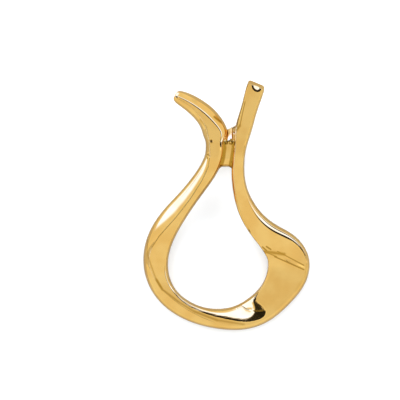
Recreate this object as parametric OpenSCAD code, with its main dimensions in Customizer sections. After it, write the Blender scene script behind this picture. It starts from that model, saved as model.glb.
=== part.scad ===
// Slide pendant: one cast ribbon of polished gold that runs from a rounded left
// tip down a long loop and back up to a squarer right tip, with a ring bail
// soldered behind the place where its two arms come close together.
// The pendant lies on its back: X to the right, Y to its top, Z to the viewer.

/* [Pendant] */
// Height from the lower curve to the right tip
pendant_h = 26; // [22:0.5:36]
// Width across the loop
pendant_w = 17.4; // [15:0.2:24]
// Width of the ribbon at the leaf, its widest place
ribbon_w = 4.5; // [3.4:0.1:5]
// Thickness of the ribbon at the arms
ribbon_t = 1.4; // [1.2:0.05:2]
// Size of the soft rounding along the ribbon's edges
edge_soft = 0.3; // [0.2:0.02:0.4]
// Half width of the soft line along each ridge of the ribbon
ridge_soft = 0.12; // [0.06:0.01:0.2]

/* [Bail] */
// Height of the bail's middle above the pendant's middle
bail_up = 5.9; // [5.2:0.1:6.4]
// Bore of the bail, which the chain slides through
bore_d = 2.8; // [2:0.1:3.4]
// Wall of the bail around its bore
bail_wall = 0.55; // [0.5:0.05:0.9]
// How deep the front of the bail lies behind the fronts of the arms
bail_recess = 0.3; // [0.2:0.05:0.8]
// Rounding of the two front bends of the bail
bail_bend = 0.9; // [0.4:0.1:1.1]
// How far each side of the bail is soldered into its arm
solder_in = 0.2; // [0.1:0.05:0.3]
// Clearance between the bore and the backs of the arms
arm_clear = 0.1; // [0.05:0.05:0.4]

/* [Hidden] */

gold = [0.85, 0.66, 0.34];

// Sections of the ribbon, from the left tip round the loop to the right tip.
// Columns, in per cent unless said otherwise:
//   X, Y   middle of the section, of half the pendant's width and height
//   TURN   turn of the section from square to the ribbon, degrees
//   WIDE   width, of ribbon_w
//   RISE   height of the back, of the arms' height above the rest
//   THICK  thickness in the middle, of ribbon_t
//   LEAN   slope of the front face, up towards the outer edge
//   IN     place of the inner ridge, of half the width, outwards
//   IDROP  fall of the front from the inner ridge to the inner edge, of ribbon_t
//   OUT    place of the outer ridge, of half the width, outwards
//   ODROP  fall of the front from the outer ridge to the outer edge, of ribbon_t
SECTIONS = [
    //  X    Y   TURN WIDE RISE THICK LEAN  IN IDROP OUT ODROP
    [-61.8, 87.3,  0,  16, 112,  60,   0,  -5,  20,  30,  10],
    [-60.3, 86.8,  0,  27, 102,  90,   0,  -5,  40,  30,  20],
    [-54.0, 85.2,  0,  35, 100, 100,   0,  -8,  55,  30,  25],
    [-41.0, 80.4,  0,  41, 100, 100,   0, -16,  55,  32,  28],
    [-26.0, 72.5,  0,  48, 100, 100,   0, -18,  55,  45,  28],
    [-17.0, 64.0,  0,  54, 100, 100,   0, -30,  55,  60,  38],
    [-12.5, 56.6,  0,  62, 100, 100,   0, -55,  35,  65,  36],
    [-14.6, 50.5,  0,  40, 100, 100,   0, -85,  15,  62,  30],
    [-14.0, 45.5,  0,  42, 100, 100,   0, -85,  15,  60,  30],
    [-15.0, 38.5,  0,  41,  99, 100,   3, -85,  15,  50,  34],
    [-19.5, 30.0,  0,  43,  94, 103,   6, -85,  15,  15,  35],
    [-29.2, 20.0,  0,  42,  84, 106,   8, -85,  15,  -5,  42],
    [-45.5,  6.0,  0,  43,  68, 111,   8, -85,  15, -28,  55],
    [-64.0, -9.0,  0,  55,  49, 116,   6, -85,  15, -30,  62],
    [-79.2,-25.0,  0,  61,  31, 120,   2, -85,  15,  20,  60],
    [-86.5,-43.0,  0,  60,  16, 126,   0, -85,  15,  66,  42],
    [-82.6,-61.0,  0,  54,   5, 132,   0, -84,  20,  25,  33],
    [-69.0,-75.5,  0,  46,   0, 138,   0, -74,  26, -20,  42],
    [-47.5,-85.5,  0,  42,   0, 142,   0, -50,  32, -12,  36],
    [-24.5,-90.6,  0,  42,   0, 143,   0, -32,  40,  15,  24],
    [ -3.5,-91.9,  0,  48,   0, 143,   0,   0,  55,  55,  16],
    [ 14.0,-91.0,  0,  57,   0, 140,   0,  30,  68,  80,  12],
    [ 28.0,-87.9,  0,  66,   0, 137,   0,  45,  74,  85,  12],
    [ 39.5,-83.8,  0,  71,   0, 134,   0,  40,  48,  85,  12],
    [ 50.0,-78.3,  0,  74,   1, 132,   0, -60,  15,  85,  12],
    [ 60.5,-70.6,  0,  78,   2, 130,   0, -85,   6,  85,  12],
    [ 70.0,-61.0, -2,  91,   5, 128,   0, -85,   6,  85,  12],
    [ 74.8,-50.6, -7, 100,   9, 124,   0, -85,   6,  85,   6],
    [ 74.6,-41.6,-12, 100,  14, 120,   0, -85,   6,  85,   9],
    [ 66.4,-33.6, -6,  86,  21, 117,   0, -85,   6,  76,  30],
    [ 53.5,-26.8,  0,  65,  31, 114,   0, -85,   6,  56,  44],
    [ 38.0,-17.5,  0,  53,  43, 111,   0, -85,   6,  53,  46],
    [ 24.0, -4.5,  0,  45,  59, 108,   0, -80,   6,  55,  42],
    [ 15.0, 12.0,  0,  32,  79, 103,   0, -80,   6,  68,  22],
    [ 12.6, 29.0,  0,  30,  95, 100,   0, -80,   6,  78,  16],
    [ 15.8, 45.5,  0,  26, 100, 100,   0, -75,   6,  80,  15],
    [ 19.6, 60.0,  0,  42, 100, 100,   0, -85,   6,  80,  15],
    [ 26.5, 75.5,  0,  37, 100, 100,   0, -85,   6,  80,  15],
    [ 32.4, 88.6, -4,  43, 100,  98,   0, -85,   6,  80,  15],
    [ 35.2, 94.8, -8,  43, 100,  80,   0, -30,  25,  80,  15],
    [ 36.0, 97.3,-10,  37, 104,  50,   0, -30,  15,  80,  10],
];
COLUMNS = ["X", "Y", "TURN", "WIDE", "RISE", "THICK", "LEAN", "IN", "IDROP", "OUT", "ODROP"];
// Rings of the finished ribbon for each section of the table
RINGS = 3;

// An edge's rounding, as shares of its size: down the side and in along the front
ROLL_DOWN = 0.8;
ROLL_IN = 0.7;
// Most that a rounding takes of the thickness and of the half width
ROLL_MOST = 1 / 3;
// Most that the soft line of a ridge takes of the half width
LINE_MOST = 1 / 8;
// Facets round the bail's circles
ROUND = 64;
// How far the bore's cutter runs past each side of the bail
CUT = 1;

bore_r = bore_d / 2;
bail_r = bore_r + bail_wall;
arm_back = bail_wall + bore_d + arm_clear;
arm_front = arm_back + ribbon_t;

last = len(SECTIONS) - 1;
function cell(i, column) = SECTIONS[i][search([column], COLUMNS)[0]];
function size(i, column, whole) = cell(i, column) / 100 * whole;
function middle(i) = [size(i, "X", pendant_w / 2), size(i, "Y", pendant_h / 2)];
function along(i) = middle(min(i + 1, last)) - middle(max(i - 1, 0));
// Unit vector in plan from the inner to the outer edge of a section
function outward(i) =
    let (v = along(i), a = atan2(v.y, v.x) - 90 + cell(i, "TURN")) [cos(a), sin(a)];

// Points round a section as [distance outwards from its middle, height]
function profile(i) =
    let (
        half = size(i, "WIDE", ribbon_w) / 2,
        back = size(i, "RISE", arm_back),
        thick = size(i, "THICK", ribbon_t),
        front = back + thick,
        lean = cell(i, "LEAN") / 100,
        soft = min(edge_soft, thick * ROLL_MOST, half * ROLL_MOST),
        line = min(ridge_soft, half * LINE_MOST),
        in = max(size(i, "IN", half), soft + line - half),
        out = min(size(i, "OUT", half), half - soft - line),
        in_z = front + lean * in,
        out_z = front + lean * out,
        inner_z = in_z - size(i, "IDROP", ribbon_t),
        outer_z = out_z - size(i, "ODROP", ribbon_t),
        in_slope = (in_z - inner_z) / (in + half),
        out_slope = (out_z - outer_z) / (half - out)
    )
    [
        [-half + soft, back],
        [-half, back + soft],
        [-half, (back + inner_z) / 2],
        [-half, inner_z - soft * ROLL_DOWN],
        [-half + soft * ROLL_IN, inner_z + in_slope * soft * ROLL_IN],
        [(in - half + soft) / 2, (in_z + inner_z + in_slope * soft) / 2],
        [in - line, in_z - in_slope * line],
        [in, in_z],
        [in + line, in_z + lean * line],
        [(in + out) / 2, front + lean * (in + out) / 2],
        [out - line, out_z - lean * line],
        [out, out_z],
        [out + line, out_z - out_slope * line],
        [(out + half - soft) / 2, (out_z + outer_z + out_slope * soft) / 2],
        [half - soft * ROLL_IN, outer_z + out_slope * soft * ROLL_IN],
        [half, outer_z - soft * ROLL_DOWN],
        [half, (back + outer_z) / 2],
        [half, back + soft],
        [half - soft, back],
        [0, back],
    ];

function section(i) =
    let (m = middle(i), n = outward(i))
    [for (p = profile(i)) [m.x + n.x * p.x, m.y + n.y * p.x, p.y]];

// Weights of a smooth curve through four neighbouring sections
function weights(t) =
    [pow(1 - t, 3), 3 * pow(t, 3) - 6 * t * t + 4, -3 * pow(t, 3) + 3 * t * t + 3 * t + 1, pow(t, 3)] / 6;
function blend(net, i, t) =
    let (
        w = weights(t),
        n = len(net) - 1,
        before = i > 0 ? net[i - 1] : 2 * net[0] - net[1],
        after = i < n - 1 ? net[i + 2] : 2 * net[n] - net[n - 1]
    )
    w[0] * before + w[1] * net[i] + w[2] * net[i + 1] + w[3] * after;
// The same smoothing round a closed section
function rounded(ring) =
    let (n = len(ring))
    [for (j = [0:n - 1]) (ring[(j + n - 1) % n] + 4 * ring[j] + ring[(j + 1) % n]) / 6];

module ribbon() {
    net = [for (i = [0:last]) section(i)];
    rings = [
        for (i = [0:last - 1]) for (k = [0:RINGS - 1]) rounded(blend(net, i, k / RINGS)),
        rounded(net[last]),
    ];
    around = len(rings[0]);
    ends = len(rings) - 1;
    points = [for (ring = rings) each ring];
    skin = [
        for (i = [0:ends - 1]) for (j = [0:around - 1])
            let (a = i * around + j, b = i * around + (j + 1) % around)
            each [[a, a + around, b], [b, a + around, b + around]]
    ];
    first_cap = [for (j = [0:around - 1]) j];
    last_cap = [for (j = [around - 1:-1:0]) ends * around + j];
    polyhedron(points, concat(skin, [first_cap, last_cap]), convexity = 10);
}

// Where the inner edge of an arm is at a height, for the rows of that arm
function inner_edge(rows, height) =
    lookup(height, [
        for (i = rows)
            let (p = middle(i) - outward(i) * size(i, "WIDE", ribbon_w) / 2)
            [p.y, p.x]
    ]);

// Ring bail with a bore along X, round at the back and flat at the front
module bail() {
    left_arm = [for (i = [0:last]) if (i < last / 2 && middle(i).y > 0) i];
    right_arm = [for (i = [0:last]) if (i > last / 2 && middle(i).y > 0) i];
    left = inner_edge(left_arm, bail_up) - solder_in;
    right = inner_edge(right_arm, bail_up) + solder_in;
    width = right - left;
    reach = arm_front - bail_recess - bail_r;
    translate([(left + right) / 2, bail_up, bail_r])
        difference() {
            intersection() {
                rotate([90, 0, 90])
                    linear_extrude(width, center = true)
                        bail_side(reach);
                rotate([90, 0, 0])
                    linear_extrude(2 * bail_r, center = true)
                        bail_face(width, reach);
            }
            rotate([0, 90, 0])
                cylinder(r = bore_r, h = width + 2 * CUT, center = true, $fn = ROUND);
        }
}

// Outline of the bail seen along its bore
module bail_side(reach) {
    circle(bail_r, $fn = ROUND);
    translate([-bail_r, 0])
        square([2 * bail_r, reach - bail_bend]);
    translate([bail_bend - bail_r, 0])
        square([2 * (bail_r - bail_bend), reach]);
    for (side = [-1, 1])
        translate([side * (bail_r - bail_bend), reach - bail_bend])
            circle(bail_bend, $fn = ROUND);
}

// Outline of the bail seen from the pendant's top, its front leg half round
module bail_face(width, reach) {
    translate([-width / 2, -bail_r])
        square([width, bail_r + reach - width / 2]);
    translate([0, reach - width / 2])
        circle(width / 2, $fn = ROUND);
}

module slide_pendant() {
    color(gold) {
        ribbon();
        bail();
    }
}

slide_pendant();
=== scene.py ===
"""Slide pendant of polished yellow gold, lying on its back on a pale floor and seen from straight above.

One ribbon of gold runs from the left tip round the loop to the right tip, and a ring bail is soldered
between its two arms. Sizes are in metres, in the frame of the pendant's solids: X to the right, Y to its
top and Z to the viewer.
"""
import math

import bmesh
import bpy
import numpy as np
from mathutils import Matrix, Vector, noise


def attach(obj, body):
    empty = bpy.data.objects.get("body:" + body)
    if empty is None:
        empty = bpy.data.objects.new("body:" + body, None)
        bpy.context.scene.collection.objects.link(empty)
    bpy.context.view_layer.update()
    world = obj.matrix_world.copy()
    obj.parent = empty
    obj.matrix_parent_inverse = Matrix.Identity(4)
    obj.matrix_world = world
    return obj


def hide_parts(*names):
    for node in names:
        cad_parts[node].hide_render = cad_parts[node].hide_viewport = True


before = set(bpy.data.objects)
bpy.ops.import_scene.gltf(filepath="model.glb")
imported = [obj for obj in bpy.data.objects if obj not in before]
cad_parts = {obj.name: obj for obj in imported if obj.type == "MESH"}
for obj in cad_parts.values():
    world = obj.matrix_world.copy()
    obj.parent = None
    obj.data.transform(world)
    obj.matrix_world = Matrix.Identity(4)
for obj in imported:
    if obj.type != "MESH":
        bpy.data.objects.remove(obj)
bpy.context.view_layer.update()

MM = 0.001
NODE = "slide_pendant"

# Driving sizes of the pendant, the same as its solid has
PENDANT_H = 26 * MM
PENDANT_W = 17.4 * MM
RIBBON_W = 4.5 * MM
RIBBON_T = 1.4 * MM
EDGE_SOFT = 0.3 * MM
RIDGE_SOFT = 0.2 * MM
RIDGE_LEAST = 0.06 * MM
BAIL_UP = 5.9 * MM
BORE_R = 1.4 * MM
BAIL_WALL = 0.55 * MM
BAIL_RECESS = 0.3 * MM
BAIL_BEND = 0.9 * MM
SOLDER_IN = 0.2 * MM
ARM_CLEAR = 0.1 * MM
ARM_BACK = BAIL_WALL + 2 * BORE_R + ARM_CLEAR
ARM_FRONT = ARM_BACK + RIBBON_T
BAIL_R = BORE_R + BAIL_WALL

# Sections of the ribbon, from the left tip round the loop to the right tip, in per cent. Their columns:
# x, y: the middle, of half the pendant's width and height
# turn: how far the section is turned in plan, in degrees
# wide, rise, thick: its width, of RIBBON_W, its back's height, of ARM_BACK, and its thickness, of RIBBON_T
# lean: the front's rise towards the outer edge
# in_, out: places of the two ridges, of half the width
# in_drop, out_drop, swell: the fall from each ridge to its edge, and the outer face's bulge, of RIBBON_T
# in_line, out_line: the width of each ridge's line, of RIDGE_SOFT
# in_soft: the rounding of the inner edge, of EDGE_SOFT
COLUMNS = ("x", "y", "turn", "wide", "rise", "thick", "lean", "in_", "in_drop", "out", "out_drop", "swell",
           "in_line", "out_line", "in_soft")
SECTIONS = [
    (-61.8, 87.3, 0, 16, 112, 60, 0, -5, 6, 30, 10, 0, 30, 30, 100),
    (-60.3, 86.8, 0, 27, 102, 90, 0, -5, 18, 30, 20, 0, 30, 30, 100),
    (-54.0, 85.2, 0, 35, 100, 100, 0, -8, 50, 30, 25, 0, 60, 30, 100),
    (-41.0, 80.4, 0, 41, 100, 100, 0, -16, 60, 32, 28, 0, 100, 30, 100),
    (-26.0, 72.5, 0, 48, 100, 100, 0, -18, 60, 45, 28, 0, 100, 30, 100),
    (-17.0, 64.0, 0, 54, 100, 100, 0, -30, 55, 60, 38, 0, 90, 30, 100),
    (-12.5, 56.6, 0, 62, 100, 100, 0, -55, 35, 65, 36, 0, 60, 30, 100),
    (-14.6, 50.5, 0, 40, 100, 100, 0, -85, 8, 62, 30, 0, 30, 30, 100),
    (-14.0, 45.5, 0, 42, 100, 100, 0, -85, 3, 60, 30, 0, 30, 30, 100),
    (-15.0, 38.5, 0, 41, 99, 100, 3, -85, 3, 50, 34, 0, 30, 30, 100),
    (-19.5, 30.0, 0, 43, 94, 103, 6, -85, 15, 15, 26, -3, 30, 30, 100),
    (-29.2, 20.0, 0, 42, 84, 106, 8, -85, 15, -5, 31, -4, 30, 30, 100),
    (-45.5, 6.0, 0, 43, 68, 111, 8, -85, 15, -28, 39, -5, 30, 30, 100),
    (-64.0, -9.0, 0, 55, 49, 116, 6, -85, 15, -30, 52, -7, 30, 30, 100),
    (-79.2, -25.0, 0, 61, 31, 120, 2, -85, 15, 15, 70, -3, 30, 30, 100),
    (-86.5, -43.0, 0, 60, 16, 126, 0, -85, 2, 70, 50, 0, 30, 30, 100),
    (-82.6, -61.0, 0, 54, 5, 132, 0, -84, 20, 25, 44, 0, 30, 30, 100),
    (-69.0, -75.5, 0, 46, 0, 138, 0, -85, 2, -20, 42, 0, 30, 30, 100),
    (-47.5, -85.5, 0, 42, 0, 142, 0, -85, 2, -12, 36, 0, 30, 30, 100),
    (-24.5, -90.6, 0, 42, 0, 143, 0, -85, 2, 15, 24, 0, 30, 30, 100),
    (-3.5, -91.9, 0, 48, 0, 143, 0, -85, 2, 55, 16, 0, 30, 30, 100),
    (14.0, -91.0, 0, 57, 0, 140, 0, -85, 2, 80, 12, 0, 30, 30, 100),
    (28.0, -87.9, 0, 66, 0, 137, 0, -85, 2, 85, 12, 0, 30, 30, 100),
    (39.5, -83.8, 0, 71, 0, 134, 0, -85, 2, 85, 12, 0, 30, 30, 100),
    (50.0, -78.3, 0, 74, 1, 132, 0, -85, 2, 85, 12, 0, 30, 30, 100),
    (60.5, -70.6, 0, 78, 2, 130, 0, -85, 2, 85, 12, 0, 30, 30, 30),
    (70.0, -61.0, -2, 91, 5, 128, 0, -85, 2, 85, 12, 0, 30, 30, 30),
    (74.7, -50.6, -7, 100, 9, 124, 0, -85, 2, 85, 2, 0, 30, 30, 30),
    (74.5, -41.6, -12, 100, 14, 120, 0, -85, 2, 85, 3, 0, 30, 60, 30),
    (66.4, -33.6, -6, 86, 21, 117, 0, -85, 2, 76, 24, 3, 30, 100, 30),
    (53.5, -26.8, 0, 65, 31, 114, 0, -85, 2, 56, 33, 4, 30, 90, 30),
    (38.0, -17.5, 0, 53, 43, 111, 0, -85, 2, 53, 28, 4, 30, 90, 30),
    (24.0, -4.5, 0, 45, 59, 108, 0, -80, 14, 55, 23, 3, 30, 80, 30),
    (15.0, 12.0, 0, 32, 79, 103, 0, -72, 20, 66, 16, 0, 30, 60, 30),
    (12.6, 29.0, 0, 30, 95, 100, 0, -68, 20, 78, 16, 0, 30, 30, 30),
    (15.8, 45.5, 0, 26, 100, 100, 0, -75, 15, 80, 2, 0, 30, 30, 30),
    (19.6, 60.0, 0, 42, 100, 100, 0, -85, 2, 80, 2, 0, 30, 30, 30),
    (26.5, 75.5, 0, 37, 100, 100, 0, -85, 2, 80, 2, 0, 30, 30, 30),
    (32.4, 88.6, -4, 43, 100, 98, 0, -85, 2, 80, 2, 0, 30, 30, 30),
    (35.2, 94.8, -8, 43, 100, 98, 0, -85, 2, 80, 2, 0, 30, 30, 30),
    (36.0, 97.3, -10, 37, 104, 84, 0, -85, 2, 80, 2, 0, 30, 30, 30),
]

# An edge's rounding, as shares of its size: down the side and in along the front
ROLL_DOWN = 0.8
ROLL_IN = 0.7
# Most that a rounding takes of the thickness and the half width, and a ridge's line of the face beside it
ROLL_MOST = 1 / 3
LINE_MOST = 1 / 2
# A ridge is broken by a narrow land. It falls this much of its width, or this share of its face's fall if
# that's less
LAND_SLOPE = 0.24
LAND_MOST = 0.15
# Points between the two ridges, and on the face beside each ridge
TOP_POINTS = 5
FACE_POINTS = 3
# The cap of each tip is a smaller copy of the last ring, which keeps the tip from shrinking
CAP_SCALE = 0.55
# How often the rings are doubled before the whole net is smoothed, and the levels of that smoothing
RING_DOUBLINGS = 1
RIBBON_LEVELS = 2

# A place above this height in mm is on the front. A cut takes at most this share of the thickness
FRONT_FROM = 1.2
CUT_MOST = 0.7

# Scoop in mm, along the bottom from the left and round the hook at its right end. Each row has x and y of
# the rim, the width of its rounding, x and y of the line where the wall starts inside it, and the wall's
# tilt in degrees
SCOOP = [
    (-6.45, -7.1, 0.05, -6.35, -7.0, 2),
    (-6.15, -7.8, 0.1, -6.05, -7.75, 20),
    (-5.75, -8.6, 0.15, -5.65, -8.52, 46),
    (-5.1, -9.5, 0.15, -5.02, -9.42, 50),
    (-4.35, -10.2, 0.15, -4.28, -10.1, 50),
    (-3.6, -10.68, 0.15, -3.53, -10.57, 50),
    (-2.75, -11.08, 0.15, -2.7, -10.96, 50),
    (-1.7, -11.45, 0.15, -1.65, -11.33, 40),
    (-0.7, -11.7, 0.15, -0.68, -11.58, 33),
    (0.6, -11.95, 0.15, 0.62, -11.83, 29),
    (1.5, -12.1, 0.15, 1.5, -11.97, 28),
    (2.3, -12.13, 0.15, 2.2, -11.93, 28),
    (3.1, -11.95, 0.2, 2.6, -11.68, 28),
    (3.7, -11.7, 0.25, 2.85, -11.4, 29),
    (4.0, -11.35, 0.25, 2.97, -11.1, 29),
    (3.97, -10.9, 0.25, 3.0, -10.8, 29),
    (3.6, -10.45, 0.2, 2.96, -10.5, 28),
    (3.1, -10.15, 0.15, 2.91, -10.2, 28),
    (2.97, -9.65, 0.12, 2.88, -9.85, 28),
    (3.25, -9.15, 0.12, 3.0, -9.35, 29),
    (3.4, -8.75, 0.1, 3.3, -8.75, 20),
    (3.8, -7.7, 0.05, 3.7, -7.65, 0),
    (4.05, -6.2, 0.05, 3.95, -6.2, 0),
]
# How often its rows are doubled
SCOOP_DOUBLINGS = 4
# Tilt of the land between rim and wall, where it starts and where it ends
LAND_TILTS = (17, 18.5)
# The wall reaches its own tilt after this many mm
WALL_START = 0.4
# A place takes the shallowest of the walls round it. A wall that starts farther off than the nearest one
# counts as deeper, by 1 mm for this many mm
WALL_REACH = 1
# The scoop lies right of this X and below this Y, between these heights of back and front
SCOOP_AREA = (-8, -6)
SCOOP_HEIGHTS = (0, 1.9)
# Smoothing of its floor: how often, by what share, how far up a place has to look, how deep it has to be,
# and how far outside the wall's line it may be
SCOOP_SMOOTHINGS = 4
SMOOTH_SHARE = 0.5
SMOOTH_FACING = 0.5
SMOOTH_DEEP = 0.1
SMOOTH_OUT = 0.7

# Right tip, in mm and degrees: the X and Y where it starts, a point of its end and the way out of that end,
# the width and tilt of its bevel, and the height where the bevel stops
TIP_AREA = (1, 11)
TIP_END = (3.17, 12.62)
TIP_WAY = 65
TIP_BEVEL = 0.42
TIP_TILT = 62
TIP_LOWEST = 3.7
# Thumbnail dent on it, with rows, start of the wall and heights as the scoop has
DENT = [
    (2.62, 13.1, 0.05, 2.74, 13.1, 28),
    (2.63, 12.7, 0.05, 2.75, 12.7, 28),
    (2.63, 12.33, 0.1, 2.77, 12.33, 28),
    (2.7, 12.0, 0.1, 2.85, 12.08, 28),
    (2.95, 11.78, 0.1, 3.02, 11.95, 28),
    (3.2, 11.7, 0.1, 3.2, 11.88, 28),
    (3.47, 11.78, 0.1, 3.37, 11.95, 28),
    (3.62, 12.0, 0.1, 3.45, 12.1, 28),
    (3.68, 12.33, 0.1, 3.53, 12.33, 28),
    (3.71, 12.64, 0.05, 3.57, 12.64, 28),
    (3.75, 13.1, 0.05, 3.6, 13.1, 28),
]
DENT_START = 0.1
DENT_HEIGHTS = (3.6, 4.85)

# Fold across the leaf, in mm: its two ends, the half width of its band, its height, and the width of its
# steep lower side
FOLD_ENDS = ((5.0, -5.2), (8.35, -6.67))
FOLD_HALF = 0.2
FOLD_UP = 0.07
FOLD_EDGE = 0.08
# Powers that move the band's widest place towards its second end and blunt both ends, and the half width
# where it stops
FOLD_ALONG = 2
FOLD_ROUND = 0.8
FOLD_LEAST = 0.01
# Small casting pits: place, radius and depth in mm
PITS = [
    (-1.6, 6.6, 0.09, 0.14),
    (-1.95, 5.2, 0.07, 0.08),
    (-1.8, 5.1, 0.06, 0.06),
    (-2.05, 4.9, 0.06, 0.06),
]
# Brown marks: tarnished solder on the bail, and elsewhere painted shade along ridges and edges and in
# creases, notches and hollows. Lines from place to place in mm, with a half width and a strength
SHADE_AND_TARNISH_MARKS = [
    # on the solder of the bail
    (0.0, 6.75, 0.1, 6.45, 0.07, 1),
    (0.5, 6.75, 0.62, 6.5, 0.09, 1),
    (0.85, 6.6, 0.87, 6.4, 0.07, 0.9),
    (-0.35, 6.5, -0.3, 6.35, 0.06, 0.7),
    (0.57, 6.85, 0.6, 7.9, 0.035, 0.5),
    (0.28, 6.5, 0.3, 6.3, 0.04, 0.8),
    # painted shade: dark streaks on the two arms and in the notch beside the bail
    (-2.75, 8.8, -2.1, 8.0, 0.15, 0.25),
    (-2.1, 8.0, -1.95, 7.2, 0.12, 0.2),
    (-1.25, 9.1, -0.57, 8.54, 0.11, 0.7),
    (1.4, 8.23, 1.04, 7.76, 0.12, 0.5),
    (1.65, 9.5, 1.4, 8.3, 0.05, 0.5),
    (1.92, 10.7, 1.65, 9.5, 0.05, 0.5),
    # painted shade in the pits
    (-1.6, 6.65, -1.58, 6.5, 0.1, 1),
    (-2.0, 5.2, -1.8, 5.1, 0.08, 0.5),
    (-2.05, 4.95, -2.0, 4.8, 0.07, 0.5),
    # painted shade along the ridge round the lower left
    (-8.25, -3.5, -8.2, -5.3, 0.08, 0.3),
    (-8.2, -5.3, -7.35, -7.7, 0.1, 0.3),
    (-7.35, -7.7, -6.7, -8.8, 0.14, 0.5),
    (-6.7, -8.8, -5.0, -10.1, 0.14, 0.35),
    (-5.0, -10.1, -3.4, -11.1, 0.14, 0.3),
    (-3.4, -11.1, -1.0, -12.0, 0.16, 0.35),
    (-1.0, -12.0, 1.8, -12.45, 0.14, 0.3),
    # painted shade in the hook
    (2.9, -11.07, 3.9, -11.02, 0.07, 0.95),
    # painted shade at the kink and the fold of the leaf, and down its right side
    (3.75, -4.4, 4.15, -4.75, 0.07, 0.7),
    (4.15, -4.35, 4.6, -4.65, 0.07, 0.7),
    (3.65, -4.75, 5.2, -5.4, 0.06, 0.5),
    (3.8, -4.85, 6.0, -5.15, 0.2, 0.4),
    (5.3, -4.85, 8.05, -6.3, 0.05, 0.6),
    (5.0, -5.4, 8.05, -6.75, 0.06, 0.7),
    (8.35, -6.1, 8.15, -7.6, 0.12, 0.2),
    (8.15, -7.6, 7.2, -9.0, 0.25, 0.12),
]
# One more mark, of painted shade, runs down the outer ridge of the left branch: the sections that it passes,
# with shares of the
# way to the next one, its half width in mm, and its strength between each two of them
RIDGE_PLACES = (9.25, 10, 11, 12, 13, 14, 14.5)
RIDGE_HALF = 0.05
RIDGE_STRENGTHS = (0.5, 0.6, 0.6, 0.6, 0.6, 0.5)
# How often the ridge's rows are doubled, and its number among the places round a section
RIDGE_DOUBLINGS = 4
OUTER_RIDGE = 9 + FACE_POINTS + TOP_POINTS
# Soft waves that the buff wore into the front, in mm: their height and size, and the share of the height
# that they are sunk
WAVE_UP = 0.02
WAVE_SIZE = 2.2
WAVE_SUNK = 0.5
# They start at this height of the ribbon and are full after this rise
WAVE_FROM = 1
WAVE_FADE = 0.5
# Places in mm, with a radius, where the net is made finer. Then how far up a face has to look there, and
# the cuts of each of its edges
FINE_PLACES = [
    (3.0, -10.8, 1.9),
    (4.2, -4.5, 0.9),
    (6.4, -5.7, 2.1),
    (-1.6, 6.6, 0.35),
    (-1.95, 5.1, 0.45),
    (3.2, 12.1, 1),
]
FINE_FACING = 0.2
FINE_CUTS = 2

# Bail: points round it, and slices from arm to arm
BAIL_AROUND = 160
BAIL_SLICES = 40
# Its front leg starts to widen to the arms at this height in mm, and reaches them after this rise
LEG_FROM = 3
LEG_FADE = 0.8
# Groove on each side of the leg: where it starts and is deepest, as shares of the half width, its depth,
# and the solder fillet that rises from there to the arm
GROOVE_SPAN = (0.3, 0.7)
GROOVE_DEEP = 0.02 * MM
FILLET_UP = 0.02 * MM
# Painted shade in the grooves, brown: its strength, and the share that the solder on the top end hides
GROOVE_SHADE = 0.5
GROOVE_SHADE_HIDDEN = 0.5
# Paler solder on the leg's top end: the Y in mm where it starts, and the lengths after which it's full and
# has hidden the brown painted shade
SOLDER_FROM = 6.4
SOLDER_FADE = 0.3
GROOVE_SHADE_HIDE_FADE = 0.4
# Solder and the brown of painted shade and tarnished solder are on the leg alone: they start this far in
# front of the bore's axis in mm, and are full after this rise
FINISH_FROM = 1
FINISH_FADE = 0.5
# The leg's ends start at this share of the bail's radius, up and down from its middle
ENDS_FROM = 0.4
# At the lower end both its sides reach this far down along the arms, in mm, by this power of the distance
# from its middle
ARCH_DOWN = 0.45
ARCH_POWER = 3
# At the top end its right side reaches this far up, in mm, from this share of its width on
NOTCH_OUT = 0.5
NOTCH_AT = 0.2
# The top end slopes down into the notch between the arms: the Y where it starts, and the length of its bend
NOTCH_UP = 6.5 * MM
NOTCH_BEND = 0.25 * MM
# Tilts of its left, middle and right facet, the X in mm of the middle one's two edges, and the width of
# those edges
NOTCH_TILTS = (44, 26, 44)
NOTCH_FACET = (0.05, 0.55)
FACET_EDGE = 0.1
# The top end is shaped above this height, just over the arms' rounded backs, and fully after this rise in
# mm. At least this much stays of its thickness
TOP_UNDER = 3.65 * MM
TOP_FADE = 0.25
TOP_THICK = 0.15 * MM
# Solder lumps on it: height, size, the stretch of Y where they sit, and the mm in which they fade in
LUMP_UP = 0.035 * MM
LUMP_SIZE = 0.16 * MM
LUMP_REACH = (6.2 * MM, 6.9 * MM)
LUMP_FADE = 0.2
# Black specks there: the layer of the noise, the value where they start, how far above it they are full,
# and the mm in which they fade in
SPECK_LAYER = 3
SPECK_FROM = 0.1
SPECK_RISE = 0.15
SPECK_FADE = 0.1

# Polished gold: its two tones, the paler solder, and the brown of tarnished solder and painted shade at half
# and at full strength
GOLD_DEEP = (0.86, 0.525, 0.145, 1)
GOLD_LIGHT = (0.91, 0.595, 0.185, 1)
SOLDER_GOLD = (0.91, 0.66, 0.3, 1)
SHADE_AND_STAIN_BROWN = (0.5, 0.27, 0.03, 1)
SHADE_AND_STAIN_BLACK = (0.16, 0.08, 0.01, 1)
# Patches per mm of tone, haze, buffing waves and hairlines, and the way of the hairlines
TONE_SCALE = 0.45
HAZE_SCALE = 0.9
BUFF_SCALE = 0.7
HAIRLINE_SCALE = 3
HAIRLINE_WAY = {"Rotation": (0.2, 0.1, 0.6), "Scale": (1, 14, 1)}
# Noise values between which the tone turns and a hairline shows
TONE_SPAN = (0.35, 0.65)
HAIRLINE_SPAN = (0.62, 0.72)
# Roughness of the bare polish, and what haze, hairlines, the brown marks of tarnished solder and painted
# shade, and solder add
POLISH_ROUGH = 0.05
HAZE_ROUGH = 0.05
HAIRLINE_ROUGH = 0.05
SHADE_AND_STAIN_ROUGH = 0.2
SOLDER_ROUGH = 0.15
# Shares of the buffing waves and the hairlines in the relief, its strength and its height
BUFF_RELIEF = 3
HAIRLINE_RELIEF = 0.15
RELIEF_STRENGTH = 0.2
RELIEF_UP = 0.001 * MM


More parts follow.
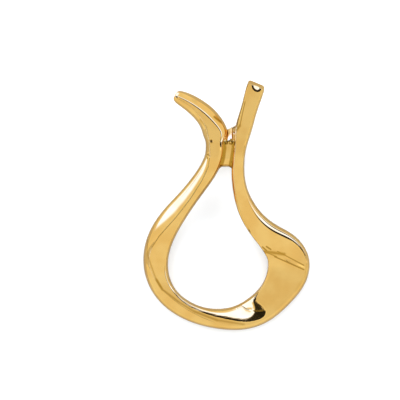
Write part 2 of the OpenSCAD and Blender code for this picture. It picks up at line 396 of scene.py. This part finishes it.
class Value:
    """An output of a node, with which sums and products are written as maths."""

    def __init__(self, nodes, socket):
        self.nodes = nodes
        self.socket = socket

    def maths(self, operation, *values):
        inputs = dict(enumerate(values))
        return self.nodes.add("ShaderNodeMath", {"operation": operation}, inputs)

    def __add__(self, other):
        return self.maths("ADD", self, other)

    def __rsub__(self, other):
        return self.maths("SUBTRACT", other, self)

    def __mul__(self, other):
        return self.maths("MULTIPLY", self, other)

    def __truediv__(self, other):
        return self.maths("DIVIDE", self, other)

    __radd__ = __add__
    __rmul__ = __mul__


class Nodes:
    """The node tree of a material or of the studio's light."""

    def __init__(self, owner):
        owner.use_nodes = True
        self.tree = owner.node_tree
        self.tree.nodes.clear()

    def add(self, kind, settings=None, inputs=None, output=0):
        """A node with its settings, then the values or links of its inputs. Returns one of its outputs."""
        node = self.tree.nodes.new(kind)
        for name, setting in (settings or {}).items():
            setattr(node, name, setting)
        for name, value in (inputs or {}).items():
            if isinstance(value, Value):
                self.tree.links.new(value.socket, node.inputs[name])
            else:
                node.inputs[name].default_value = value
        return Value(self, node.outputs[output]) if node.outputs else node

    def range(self, value, low, high, to_low=0, to_high=1):
        """Value carried smoothly from low..high to to_low..to_high."""
        settings = {"interpolation_type": "SMOOTHSTEP"}
        inputs = {"Value": value, "From Min": low, "From Max": high, "To Min": to_low, "To Max": to_high}
        return self.add("ShaderNodeMapRange", settings, inputs)

    def band(self, value, edges):
        """One between the two middle edges, falling to nought at the two outer ones."""
        return self.range(value, edges[0], edges[1]) * (1 - self.range(value, edges[2], edges[3]))

    def noise(self, place, scale, detail=2):
        return self.add("ShaderNodeTexNoise", None, {"Vector": place, "Scale": scale, "Detail": detail})

    def mix(self, amount, first, second):
        """A colour between two colours."""
        settings = {"data_type": "RGBA"}
        return self.add("ShaderNodeMix", settings, {0: amount, 6: first, 7: second}, output=2)


def share(section, column, whole):
    """A section's value in a column, as that many per cent of a whole."""
    return section[COLUMNS.index(column)] / 100 * whole


def middle(i):
    section = SECTIONS[i]
    return Vector((share(section, "x", PENDANT_W / 2), share(section, "y", PENDANT_H / 2), 0))


def outward(i):
    """Unit vector in plan from the inner to the outer edge of a section."""
    last = len(SECTIONS) - 1
    way = middle(min(i + 1, last)) - middle(max(i - 1, 0))
    angle = math.atan2(way.y, way.x) + math.radians(SECTIONS[i][COLUMNS.index("turn")] - 90)
    return Vector((math.cos(angle), math.sin(angle), 0))


def spread(start, end, count):
    """Points evenly between two points, without the two."""
    steps = [i / (count + 1) for i in range(1, count + 1)]
    return [tuple(a + (b - a) * step for a, b in zip(start, end)) for step in steps]


def swollen(points, swell):
    """Raises the points of a face, most in its middle."""
    last = len(points) + 1
    bulges = [swell * math.sin(math.pi * (i + 1) / last) for i in range(len(points))]
    return [(across, height + bulge) for (across, height), bulge in zip(points, bulges)]


def profile(section):
    """Places round a section, as (distance outwards from its middle, height)."""
    half = share(section, "wide", RIBBON_W) / 2
    back = share(section, "rise", ARM_BACK)
    thick = share(section, "thick", RIBBON_T)
    lean = share(section, "lean", 1)
    front = back + thick
    soft = min(EDGE_SOFT, thick * ROLL_MOST, half * ROLL_MOST)
    crisp = share(section, "in_soft", soft)
    inner = max(share(section, "in_", half), crisp + RIDGE_LEAST - half)
    outer = min(share(section, "out", half), half - soft - RIDGE_LEAST)
    inner_drop, outer_drop = share(section, "in_drop", RIBBON_T), share(section, "out_drop", RIBBON_T)
    inner_z, outer_z = front + lean * inner, front + lean * outer
    inner_edge, outer_edge = inner_z - inner_drop, outer_z - outer_drop
    inner_soft, outer_soft = share(section, "in_line", RIDGE_SOFT), share(section, "out_line", RIDGE_SOFT)
    inner_ridge = (inner, inner_z - min(LAND_SLOPE * inner_soft, LAND_MOST * inner_drop))
    outer_ridge = (outer, outer_z - min(LAND_SLOPE * outer_soft, LAND_MOST * outer_drop))
    inner_slope = (inner_ridge[1] - inner_edge) / (inner + half)
    outer_slope = (outer_ridge[1] - outer_edge) / (half - outer)
    inner_land, outer_land = min(inner_soft, (outer - inner) / 3), min(outer_soft, (outer - inner) / 3)
    inner_line = min(inner_soft, (inner + half - crisp) * LINE_MOST)
    outer_line = min(outer_soft, (half - soft - outer) * LINE_MOST)
    inner_roll = (-half + crisp * ROLL_IN, inner_edge + inner_slope * crisp * ROLL_IN)
    outer_roll = (half - soft * ROLL_IN, outer_edge + outer_slope * soft * ROLL_IN)
    inner_face = (inner - inner_line, inner_ridge[1] - inner_slope * inner_line)
    outer_face = (outer + outer_line, outer_ridge[1] - outer_slope * outer_line)
    inner_top = (inner + inner_land, inner_z + lean * inner_land)
    outer_top = (outer - outer_land, outer_z - lean * outer_land)
    return [
        (-half + soft, back),
        (-half, back + soft),
        (-half, (back + inner_edge) / 2),
        (-half, inner_edge - crisp * ROLL_DOWN),
        inner_roll,
        *spread(inner_roll, inner_face, FACE_POINTS),
        inner_face,
        inner_ridge,
        inner_top,
        *spread(inner_top, outer_top, TOP_POINTS),
        outer_top,
        outer_ridge,
        outer_face,
        *swollen(spread(outer_face, outer_roll, FACE_POINTS), share(section, "swell", RIBBON_T)),
        outer_roll,
        (half, outer_edge - soft * ROLL_DOWN),
        (half, (back + outer_edge) / 2),
        (half, back + soft),
        (half - soft, back),
        (0, back),
    ]


def section_points(i):
    start, way = middle(i), outward(i)
    return [start + way * across + Vector((0, 0, height)) for across, height in profile(SECTIONS[i])]


def grow_ring(bm, ring, points):
    """Extrudes a closed ring of vertices and moves the new ring to the next section's points."""
    edges = [bm.edges.get((a, b)) for a, b in zip(ring, ring[1:] + ring[:1])]
    grown = bmesh.ops.extrude_edge_only(bm, edges=edges)["geom"]
    new = {vert for vert in grown if isinstance(vert, bmesh.types.BMVert)}
    ring = [next(e.other_vert(v) for e in v.link_edges if e.other_vert(v) in new) for v in ring]
    for vert, point in zip(ring, points):
        vert.co = point
    return ring


def shrunk(ring, scale):
    """A smaller copy of a ring round its own middle."""
    centre = ring.mean(axis=0)
    return centre + (ring - centre) * scale


def refined(rows):
    """Twice as many rows that guide the same smooth curve or surface, by the rule of the cubic B-spline."""
    fine = np.empty((2 * len(rows) - 1, *rows.shape[1:]))
    fine[::2] = rows
    fine[2:-2:2] = (rows[:-2] + 6 * rows[1:-1] + rows[2:]) / 8
    fine[1::2] = (rows[:-1] + rows[1:]) / 2
    return fine


def ribbon_mesh():
    """The whole ribbon as a closed net of rings, with a cap on each tip."""
    rings = np.array([section_points(i) for i in range(len(SECTIONS))])
    rings = np.array([shrunk(rings[0], CAP_SCALE), *rings, shrunk(rings[-1], CAP_SCALE)])
    for _ in range(RING_DOUBLINGS):
        rings = refined(rings)
    bm = bmesh.new()
    ring = bmesh.ops.create_circle(bm, cap_ends=True, radius=1, segments=rings.shape[1])["verts"]
    for vert, point in zip(ring, rings[0]):
        vert.co = point
    for points in rings[1:]:
        ring = grow_ring(bm, ring, points)
    bmesh.ops.contextual_create(bm, geom=ring)
    bmesh.ops.recalc_face_normals(bm, faces=bm.faces)
    return bm


def apply_smoothing(piece):
    """Works a piece's modifiers into its mesh, so that its surface can be cut and dented."""
    graph = bpy.context.evaluated_depsgraph_get()
    smooth = bpy.data.meshes.new_from_object(piece.evaluated_get(graph))
    piece.modifiers.clear()
    piece.data = smooth


def make_finer(piece):
    """Cuts the faces of the front that carry small detail into smaller ones."""
    bm = bmesh.new()
    bm.from_mesh(piece.data)
    discs = [(Vector((x, y)) * MM, (radius * MM)**2) for x, y, radius in FINE_PLACES]
    chosen = set()
    for face in bm.faces:
        if face.normal.z > FINE_FACING:
            place = face.calc_center_median().xy
            if any((place - centre).length_squared < reach for centre, reach in discs):
                chosen.update(face.edges)
    edges = [edge for edge in bm.edges if edge in chosen]
    bmesh.ops.subdivide_edges(bm, edges=edges, cuts=FINE_CUTS, use_grid_fill=True)
    bm.to_mesh(piece.data)
    bm.free()


def reshape(piece, *changes):
    """Hands the places of a piece's vertices, in mm, to each change, and takes them back."""
    mesh = piece.data
    places = vertex_places(piece)
    for change in changes:
        places = np.column_stack(change(*places.T))
    mesh.vertices.foreach_set("co", (places * MM).ravel())
    mesh.update()


def eased(value):
    """From nought to one, with a smooth start and end."""
    value = np.clip(value, 0, 1)
    return value * value * (3 - 2 * value)


def inside_line(x, y, line):
    """How far each place is to the left of a line, and its distance from every point of the line."""
    offset_x, offset_y = x[:, None] - line[None, :, 0], y[:, None] - line[None, :, 1]
    far = np.hypot(offset_x, offset_y)
    nearest = far.argmin(axis=1)
    each = np.arange(len(x))
    way = np.gradient(line, axis=0)[nearest]
    side = np.sign(way[:, 0] * offset_y[each, nearest] - way[:, 1] * offset_x[each, nearest])
    return side * far[each, nearest], far, nearest


def scoop_depths(x, y, table, wall_start):
    """Depth of a scoop at each place: a rounded rim, a land, then the long wall. Also how far inside the
    wall's line the place is.
    """
    rows = np.array(table, dtype=float)
    for _ in range(SCOOP_DOUBLINGS):
        rows = refined(rows)
    rim_line, rim, wall_line, wall = rows[:, :2], rows[:, 2], rows[:, 3:5], np.tan(np.radians(rows[:, 5]))
    inside, _, nearest = inside_line(x, y, rim_line)
    in_wall, from_wall, _ = inside_line(x, y, wall_line)
    land = inside_line(*wall_line.T, rim_line)[1].min(axis=1)
    start, end = (np.minimum(math.tan(math.radians(tilt)), wall) for tilt in LAND_TILTS)
    over_rim = np.clip(inside + rim[nearest], 0, rim[nearest])
    roll = start[nearest] * over_rim**2 / (2 * rim[nearest])
    over_land = np.clip(inside, 0, None)
    width = over_land + np.clip(-in_wall, 1e-6, None)
    on_land = start[nearest] * over_land + (end - start)[nearest] * over_land**2 / (2 * width)
    over_start = np.minimum(from_wall, wall_start)
    on_wall = (start + end) / 2 * land + end * over_start + (wall - end) * over_start**2 / (2 * wall_start)
    farther = from_wall - from_wall.min(axis=1)[:, None]
    on_wall = (on_wall + wall * (from_wall - over_start) + farther / WALL_REACH).min(axis=1)
    return roll + np.where(in_wall > 0, on_wall, on_land), in_wall


def lower(z, depth, heights):
    """Lowers a front by a depth, and what is between its back and front in proportion."""
    back, front = heights
    return z - np.clip(depth, 0, CUT_MOST * (front - back)) * np.clip((z - back) / (front - back), 0, 1)


def cut_scoop(x, y, z):
    """Cuts the long scoop of the lower right, and the dent in the right tip."""
    heights = z.copy()
    low = (x > SCOOP_AREA[0]) & (y < SCOOP_AREA[1])
    heights[low] = lower(z[low], scoop_depths(x[low], y[low], SCOOP, WALL_START)[0], SCOOP_HEIGHTS)
    tip = (x > TIP_AREA[0]) & (y > TIP_AREA[1])
    heights[tip] = lower(z[tip], scoop_depths(x[tip], y[tip], DENT, DENT_START)[0], DENT_HEIGHTS)
    return x, y, heights


def smooth_scoop(piece):
    """Softens the floor of the scoop, where its walls meet."""
    bm = bmesh.new()
    bm.from_mesh(piece.data)
    verts = [vert for vert in bm.verts if vert.co.y < SCOOP_AREA[1] * MM and vert.normal.z > SMOOTH_FACING]
    places = np.array([vert.co[:2] for vert in verts]) / MM
    depth, in_wall = scoop_depths(*places.T, SCOOP, WALL_START)
    inside = (in_wall > -SMOOTH_OUT) & (depth > SMOOTH_DEEP)
    chosen = [vert for vert, wanted in zip(verts, inside) if wanted]
    for _ in range(SCOOP_SMOOTHINGS):
        bmesh.ops.smooth_vert(bm, verts=chosen, factor=SMOOTH_SHARE, use_axis_z=True)
    bm.to_mesh(piece.data)
    bm.free()


def bevel_tip(x, y, z):
    """Cuts the right tip's end off at a slant."""
    way = math.radians(TIP_WAY)
    inwards = (TIP_END[0] - x) * math.cos(way) + (TIP_END[1] - y) * math.sin(way)
    slant = ARM_FRONT / MM - math.tan(math.radians(TIP_TILT)) * (TIP_BEVEL - inwards)
    here = (x > TIP_AREA[0]) & (y > TIP_AREA[1])
    return x, y, np.where(here, np.minimum(z, np.maximum(slant, TIP_LOWEST)), z)


def wave_front(x, y, z):
    """Soft waves of the buffing, worn into the front."""
    waves = [noise.noise(Vector((a, b, 0)) / WAVE_SIZE) - WAVE_SUNK for a, b in zip(x, y)]
    return x, y, z + WAVE_UP * np.array(waves) * np.clip((z - WAVE_FROM) / WAVE_FADE, 0, 1)


def fold_leaf(x, y, z):
    """A narrow raised band across the leaf, as a fold left by the wax, thin at its ends."""
    (start_x, start_y), (end_x, end_y) = FOLD_ENDS
    long = math.hypot(end_x - start_x, end_y - start_y)
    way_x, way_y = (end_x - start_x) / long, (end_y - start_y) / long
    along = ((x - start_x) * way_x + (y - start_y) * way_y) / long
    across = (y - start_y) * way_x - (x - start_x) * way_y
    half = FOLD_HALF * np.sin(np.pi * np.clip(along, 0, 1)**FOLD_ALONG)**FOLD_ROUND
    north = np.clip((half - across) / (2 * FOLD_HALF), 0, 1)
    south = eased((across + half) / FOLD_EDGE)
    here = (along > 0) & (along < 1) & (half > FOLD_LEAST) & (z > FRONT_FROM)
    return x, y, np.where(here, z + FOLD_UP * north * south, z)


def sink_pits(x, y, z):
    """Small round pits in the front."""
    for pit_x, pit_y, radius, depth in PITS:
        z = z - np.where(z > FRONT_FROM, depth * np.exp(-((x - pit_x)**2 + (y - pit_y)**2) / radius**2), 0)
    return x, y, z


def mark(piece, name, strengths):
    """Keeps a strength for each vertex of a piece, which its finish reads."""
    kept = piece.data.attributes.new(name, "FLOAT", "POINT")
    kept.data.foreach_set("value", strengths)


def vertex_places(piece):
    """Places of a piece's vertices, in mm."""
    places = np.empty(3 * len(piece.data.vertices))
    piece.data.vertices.foreach_get("co", places)
    return places.reshape(-1, 3) / MM


def ridge_shade_marks():
    """The painted shade down the left branch's ridge, in rows as SHADE_AND_TARNISH_MARKS has."""
    ridge = np.array([section_points(i)[OUTER_RIDGE].xy for i in range(len(SECTIONS))]) / MM
    for _ in range(RIDGE_DOUBLINGS):
        ridge = refined(ridge)
    places = [ridge[int(at * 2**RIDGE_DOUBLINGS)] for at in RIDGE_PLACES]
    steps = zip(places, places[1:], RIDGE_STRENGTHS)
    return [(*start, *end, RIDGE_HALF, strength) for start, end, strength in steps]


def painted_shade_and_tarnish(x, y):
    """Strength of the brown marks at each place: tarnished solder, and elsewhere painted shade along ridges
    and edges and in creases and hollows.
    """
    strengths = np.zeros(len(x))
    for start_x, start_y, end_x, end_y, half, strength in SHADE_AND_TARNISH_MARKS + ridge_shade_marks():
        long_x, long_y = end_x - start_x, end_y - start_y
        along = np.clip(((x - start_x) * long_x + (y - start_y) * long_y) / (long_x**2 + long_y**2), 0, 1)
        far = np.hypot(x - start_x - along * long_x, y - start_y - along * long_y)
        strengths = np.maximum(strengths, strength * np.exp(-(far / half)**2))
    return strengths


def in_front(z):
    """One on the bail's front leg, nought on its ring."""
    return eased((z - BAIL_R / MM - FINISH_FROM) / FINISH_FADE)


def bail_shade_and_stain(x, y):
    """Painted shade, brown, in the two grooves of the bail's leg, black specks in the pits of its solder, and
    the other brown marks.
    """
    left = arm_edge(True, y * MM) / MM
    right = arm_edge(False, y * MM) / MM
    side = np.abs(2 * (x - left) / (right - left) - 1)
    start, deepest = GROOVE_SPAN
    # painted shade in the grooves beside the leg, less where the solder is
    grooves = GROOVE_SHADE * eased((side - start) / (deepest - start))
    grooves = grooves * (1 - GROOVE_SHADE_HIDDEN * eased((y - SOLDER_FROM) / GROOVE_SHADE_HIDE_FADE))
    low, high = (edge / MM for edge in LUMP_REACH)
    here = eased((y - low) / SPECK_FADE) * eased((high - y) / SPECK_FADE)
    size = LUMP_SIZE / MM
    specks = np.array([noise.noise(Vector((a, b, SPECK_LAYER)) / size) for a, b in zip(x, y)])
    specks = here * eased((specks - SPECK_FROM) / SPECK_RISE)
    return np.maximum(np.maximum(grooves, specks), painted_shade_and_tarnish(x, y))


def arm_edge(first_half, height):
    """Where the inner edge of one arm is in X, at a height or heights in Y above the pendant's middle."""
    half = len(SECTIONS) // 2
    rows = [i for i in range(len(SECTIONS)) if middle(i).y > 0 and (i < half) == first_half]
    edge = np.array([middle(i) - outward(i) * share(SECTIONS[i], "wide", RIBBON_W) / 2 for i in rows])
    edge = edge[edge[:, 1].argsort()]
    return np.interp(height, edge[:, 1], edge[:, 0])


def bail_outline(angle, reach):
    """Distance from the bore's axis to the outside of the bail, which is round behind, and in front a
    square with round corners.
    """
    y, z = abs(math.cos(angle)), math.sin(angle)
    if z <= 0:
        return BAIL_R
    corner_y, corner_z = BAIL_R - BAIL_BEND, reach - BAIL_BEND
    flat = min(BAIL_R / max(y, 1e-6), reach / z)
    if flat * y <= corner_y or flat * z <= corner_z:
        return flat
    toward = y * corner_y + z * corner_z
    return toward + math.sqrt(max(toward**2 - corner_y**2 - corner_z**2 + BAIL_BEND**2, 0))


def leg_reach(share_across):
    """Reach of the bail's front leg from the bore's axis: a flat crest, a groove beside it, then a fillet."""
    side = abs(share_across)
    start, deepest = GROOVE_SPAN
    groove = GROOVE_DEEP * float(eased((side - start) / (deepest - start)))
    fillet = FILLET_UP * float(eased((side - deepest) / (1 - deepest)))
    return ARM_FRONT - BAIL_RECESS - BAIL_R - groove + fillet


def bail_mesh():
    """The ring bail in slices from arm to arm: a band round the bore, with a grooved leg in front."""
    left = arm_edge(True, BAIL_UP) - SOLDER_IN
    right = arm_edge(False, BAIL_UP) + SOLDER_IN
    angles = [2 * math.pi * i / BAIL_AROUND for i in range(BAIL_AROUND)]
    spokes = [Vector((0, math.cos(angle), math.sin(angle))) for angle in angles]
    bm = bmesh.new()
    bore = bmesh.ops.create_circle(bm, cap_ends=False, radius=1, segments=BAIL_AROUND)["verts"]
    for vert, spoke in zip(bore, spokes):
        vert.co = Vector((left, BAIL_UP, BAIL_R)) + spoke * BORE_R
    ring = bore
    for i in range(BAIL_SLICES + 1):
        centre = Vector((left + (right - left) * i / BAIL_SLICES, BAIL_UP, BAIL_R))
        reach = leg_reach(2 * i / BAIL_SLICES - 1)
        outline = [bail_outline(angle, reach) for angle in angles]
        ring = grow_ring(bm, ring, [centre + spoke * far for spoke, far in zip(spokes, outline)])
    ring = grow_ring(bm, ring, [centre + spoke * BORE_R for spoke in spokes])
    edges = [bm.edges.get(pair) for loop in (bore, ring) for pair in zip(loop, loop[1:] + loop[:1])]
    bmesh.ops.bridge_loops(bm, edges=edges)
    bmesh.ops.recalc_face_normals(bm, faces=bm.faces)
    return bm


def fit_leg(x, y, z):
    """Widens the front of the bail to the arms at every height, and shapes the two ends of its leg."""
    front = eased((z - LEG_FROM) / LEG_FADE)
    left = (arm_edge(True, y * MM) - SOLDER_IN) / MM
    right = (arm_edge(False, y * MM) + SOLDER_IN) / MM
    low, high = x.min(), x.max()
    across = (x - low) / (high - low)
    arch = -ARCH_DOWN * np.abs(2 * across - 1)**ARCH_POWER
    notch = NOTCH_OUT * np.clip((across - NOTCH_AT) / (1 - NOTCH_AT), 0, None)
    up = (y - BAIL_UP / MM) / (BAIL_R / MM)
    out = np.where(up > 0, notch, arch) * eased((np.abs(up) - ENDS_FROM) / (1 - ENDS_FROM))
    out = out * eased((z - TOP_UNDER / MM) / TOP_FADE)
    return x + front * (left + across * (right - left) - x), y + out, z


def slope_leg(x, y, z):
    """Slopes the top end of the bail's leg down into the notch between the arms, and drops solder on it."""
    bend = NOTCH_BEND / MM
    past = np.clip(y - NOTCH_UP / MM, 0, None)
    start, end = NOTCH_FACET
    left, centre, right = NOTCH_TILTS
    tilt = left + (centre - left) * eased((x - start) / FACET_EDGE)
    tilt = tilt + (right - centre) * eased((x - end) / FACET_EDGE)
    rise = np.tan(np.radians(tilt)) * np.where(past < bend, past**2 / (2 * bend), past - bend / 2)
    low, high = (edge / MM for edge in LUMP_REACH)
    here = eased((y - low) / LUMP_FADE) * eased((high - y) / LUMP_FADE)
    size = LUMP_SIZE / MM
    lumps = [noise.noise(Vector((a, b, 0)) / size) for a, b in zip(x, y)]
    under, front = TOP_UNDER / MM, (ARM_FRONT - BAIL_RECESS) / MM
    rise = np.minimum(rise, front - under - TOP_THICK / MM)
    moved = LUMP_UP / MM * here * np.array(lumps) - rise
    return x, y, z + np.clip((z - under) / (front - under), 0, 1) * moved


def finish_piece(bm, name, material, levels=0):
    """Makes an object of a bmesh, smooth shaded, with its finish."""
    mesh = bpy.data.meshes.new(name)
    bm.to_mesh(mesh)
    bm.free()
    mesh.shade_smooth()
    mesh.materials.append(material)
    piece = bpy.data.objects.new(name, mesh)
    bpy.context.scene.collection.objects.link(piece)
    if levels:
        smooth = piece.modifiers.new("smooth", "SUBSURF")
        smooth.levels = smooth.render_levels = levels
        apply_smoothing(piece)
    return piece


def place_piece(piece):
    """Lets a piece stand for the pendant's solid."""
    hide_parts(NODE)
    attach(piece, "root")


def polished_gold():
    """Hand polished yellow gold: hairlines, a faint haze, soft waves, paler solder, and brown marks of
    tarnished solder and painted shade.
    """
    material = bpy.data.materials.new("polished_gold")
    nodes = Nodes(material)
    object_place = nodes.add("ShaderNodeTexCoord", output="Object")
    place = nodes.add("ShaderNodeVectorMath", {"operation": "SCALE"}, {0: object_place, "Scale": 1 / MM})
    haze = nodes.noise(place, HAZE_SCALE, 3)
    tone = nodes.noise(place, TONE_SCALE)
    stretched = nodes.add("ShaderNodeMapping", None, {"Vector": place, **HAIRLINE_WAY})
    hairlines = nodes.noise(stretched, HAIRLINE_SCALE, 4)
    scratched = nodes.range(hairlines, *HAIRLINE_SPAN)
    shade_and_stain = nodes.add("ShaderNodeAttribute", {"attribute_name": "painted_shade_and_tarnish"}, output="Fac")
    soldered = nodes.add("ShaderNodeAttribute", {"attribute_name": "solder"}, output="Fac")
    colour = nodes.mix(nodes.range(tone, *TONE_SPAN), GOLD_DEEP, GOLD_LIGHT)
    colour = nodes.mix(soldered, colour, SOLDER_GOLD)
    # Brown, then black, where the marks are strong: tarnished solder, and painted shade in grooves, creases,
    # notches and hollows and along ridges and edges
    colour = nodes.mix(nodes.range(shade_and_stain, 0, 0.5), colour, SHADE_AND_STAIN_BROWN)
    colour = nodes.mix(nodes.range(shade_and_stain, 0.5, 1), colour, SHADE_AND_STAIN_BLACK)
    roughness = POLISH_ROUGH + haze * HAZE_ROUGH + scratched * HAIRLINE_ROUGH
    roughness = roughness + shade_and_stain * SHADE_AND_STAIN_ROUGH + soldered * SOLDER_ROUGH
    height = nodes.noise(place, BUFF_SCALE, 1) * BUFF_RELIEF + hairlines * HAIRLINE_RELIEF
    relief = {"Strength": RELIEF_STRENGTH, "Distance": RELIEF_UP, "Height": height}
    bump = nodes.add("ShaderNodeBump", None, relief)
    shader = {"Base Color": colour, "Metallic": 1, "Roughness": roughness, "Normal": bump}
    surface = nodes.add("ShaderNodeBsdfPrincipled", None, shader)
    nodes.add("ShaderNodeOutputMaterial", None, {"Surface": surface})
    return material


# The studio as the metal sees it. A band is four angles from straight up, in degrees: where it starts,
# where it's full, where that stops, and where it ends. A sector is a middle, a half width and a fade in
# plan, in degrees from +X.

# The sky's tone straight up, at the sides and below the horizon, and the angles between which it changes
UP_TONE = 0.84
SIDE_TONE = 0.93
SIDE_FROM = (5, 15)
HORIZON_TONE = 1
HORIZON_FROM = (75, 90)
# Softbox at the pendant's top end, and a small second one on its left
BOX = (38, 46, 56, 67)
BOX_SECTOR = (98, 98, 10)
SMALL_BOX = (47, 50, 57, 61)
SMALL_SECTOR = (203, 11, 8)
# Their light on gold, which is cool, and on all else
BOX_TINT = (1.35, 1.95, 5.6, 1)
BOX_PLAIN = (5.2, 5.2, 5.2, 1)
# Dark gap above the softbox, with a bright line above that
GAP = (16, 18, 36, 46)
GAP_TONE = 0.015
GAP_SECTOR = (88, 104, 12)
RING = (12, 14, 15, 17)
RING_TONE = 1.45
# The gap goes on to the left and lower left as a thin band
GAP_WEST = (31, 33, 38, 45)
WEST_SECTOR = (215, 32, 8)
# The sky's tone as it lights the floor
FLOOR_LIGHT = 1.4


def sector(nodes, across, forth, flat, middle, half, fade):
    """One within half the angle from a direction in plan, falling to nought over the fade."""
    way = math.radians(middle)
    facing = (across * math.cos(way) + forth * math.sin(way)) / flat
    return nodes.range(facing, math.cos(math.radians(half + fade)), math.cos(math.radians(half)))


def grey(tone):
    return (tone, tone, tone, 1)


def studio_light():
    """Soft light all round, with a white softbox at the pendant's top end, a dark gap above it, and a small
    second softbox on the left.
    """
    world = bpy.data.worlds.new("studio")
    bpy.context.scene.world = world
    nodes = Nodes(world)
    way = nodes.add("ShaderNodeTexCoord", output="Generated")
    parts = nodes.add("ShaderNodeSeparateXYZ", None, {0: way}).socket.node.outputs
    across, forth, up = (Value(nodes, part) for part in parts)
    angle = up.maths("ARCCOSINE", up) * (180 / math.pi)
    length = across * across + forth * forth
    flat = length.maths("SQRT", length)
    box = nodes.band(angle, BOX) * sector(nodes, across, forth, flat, *BOX_SECTOR)
    small = nodes.band(angle, SMALL_BOX) * sector(nodes, across, forth, flat, *SMALL_SECTOR)
    white = box.maths("MAXIMUM", box, small)
    toward = sector(nodes, across, forth, flat, *GAP_SECTOR)
    metal = nodes.add("ShaderNodeLightPath", output="Is Glossy Ray")
    floor = nodes.add("ShaderNodeLightPath", output="Is Diffuse Ray")
    tone = nodes.mix(nodes.range(angle, *SIDE_FROM), grey(UP_TONE), grey(SIDE_TONE))
    tone = nodes.mix(nodes.range(angle, *HORIZON_FROM), tone, grey(HORIZON_TONE))
    tone = nodes.mix(nodes.band(angle, RING) * toward, tone, grey(RING_TONE))
    tone = nodes.mix(nodes.band(angle, GAP) * toward, tone, grey(GAP_TONE))
    west = nodes.band(angle, GAP_WEST) * sector(nodes, across, forth, flat, *WEST_SECTOR)
    tone = nodes.mix(west, tone, grey(GAP_TONE))
    tone = nodes.mix(floor, tone, grey(FLOOR_LIGHT))
    tone = nodes.mix(white, tone, nodes.mix(metal, BOX_PLAIN, BOX_TINT))
    background = nodes.add("ShaderNodeBackground", None, {"Color": tone})
    nodes.add("ShaderNodeOutputWorld", None, {"Surface": background})


# The photograph's frame: its middle and its width on the pendant, at this height, the camera's height over
# that, and the width of its sensor, in Blender's unit for it
FRAME_MIDDLE = (-2.76 * MM, 0.49 * MM)
FRAME_WIDTH = 41.56 * MM
FRAME_PLANE = 3 * MM
CAMERA_UP = 0.8
SENSOR_WIDTH = 36
# Half the floor's side, its tones as it lights the metal and as the camera sees it, and the patches per
# metre and the share of its grain
FLOOR_HALF = 3
FLOOR_TONE = 0.36
FLOOR_SEEN = (0.82, 0.85, 0.88, 1)
GRAIN_SCALE = 40
GRAIN_SHARE = 0.01


def pale_floor():
    """A plain pale floor with a faint grain."""
    material = bpy.data.materials.new("pale_floor")
    nodes = Nodes(material)
    place = nodes.add("ShaderNodeTexCoord", output="Object")
    grain = nodes.noise(place, GRAIN_SCALE, 3)
    seen = nodes.add("ShaderNodeLightPath", output="Is Camera Ray")
    pale = nodes.mix(seen, grey(FLOOR_TONE), FLOOR_SEEN)
    colour = nodes.mix(grain * GRAIN_SHARE, pale, grey(1))
    matt = {"Base Color": colour, "Roughness": 1, "Diffuse Roughness": 0.5, "Specular IOR Level": 0}
    surface = nodes.add("ShaderNodeBsdfPrincipled", None, matt)
    nodes.add("ShaderNodeOutputMaterial", None, {"Surface": surface})
    bm = bmesh.new()
    bmesh.ops.create_grid(bm, x_segments=4, y_segments=4, size=FLOOR_HALF)
    floor = finish_piece(bm, "floor", material)


def camera():
    """A long lens straight above the pendant."""
    lens = bpy.data.cameras.new("camera")
    lens.sensor_width = SENSOR_WIDTH
    lens.lens = lens.sensor_width * CAMERA_UP / FRAME_WIDTH
    camera_object = bpy.data.objects.new("camera", lens)
    camera_object.location = (*FRAME_MIDDLE, CAMERA_UP + FRAME_PLANE)
    bpy.context.scene.collection.objects.link(camera_object)
    bpy.context.scene.camera = camera_object


camera()
studio_light()
pale_floor()
gold = polished_gold()
ribbon = finish_piece(ribbon_mesh(), "ribbon", gold, RIBBON_LEVELS)
make_finer(ribbon)
reshape(ribbon, wave_front, cut_scoop, bevel_tip, fold_leaf, sink_pits)
smooth_scoop(ribbon)
bail = finish_piece(bail_mesh(), "bail", gold)
reshape(bail, fit_leg, slope_leg)
# The ribbon's brown marks are mostly painted shade; the bail's are painted shade in its grooves and dark
# spots on its solder
mark(ribbon, "painted_shade_and_tarnish", painted_shade_and_tarnish(*vertex_places(ribbon).T[:2]))
bail_places = vertex_places(bail).T
mark(bail, "solder", in_front(bail_places[2]) * eased((bail_places[1] - SOLDER_FROM) / SOLDER_FADE))
mark(bail, "painted_shade_and_tarnish", in_front(bail_places[2]) * bail_shade_and_stain(*bail_places[:2]))
place_piece(ribbon)
place_piece(bail)

scene = bpy.context.scene
scene.view_settings.view_transform = "Standard"
scene.view_settings.look = "None"
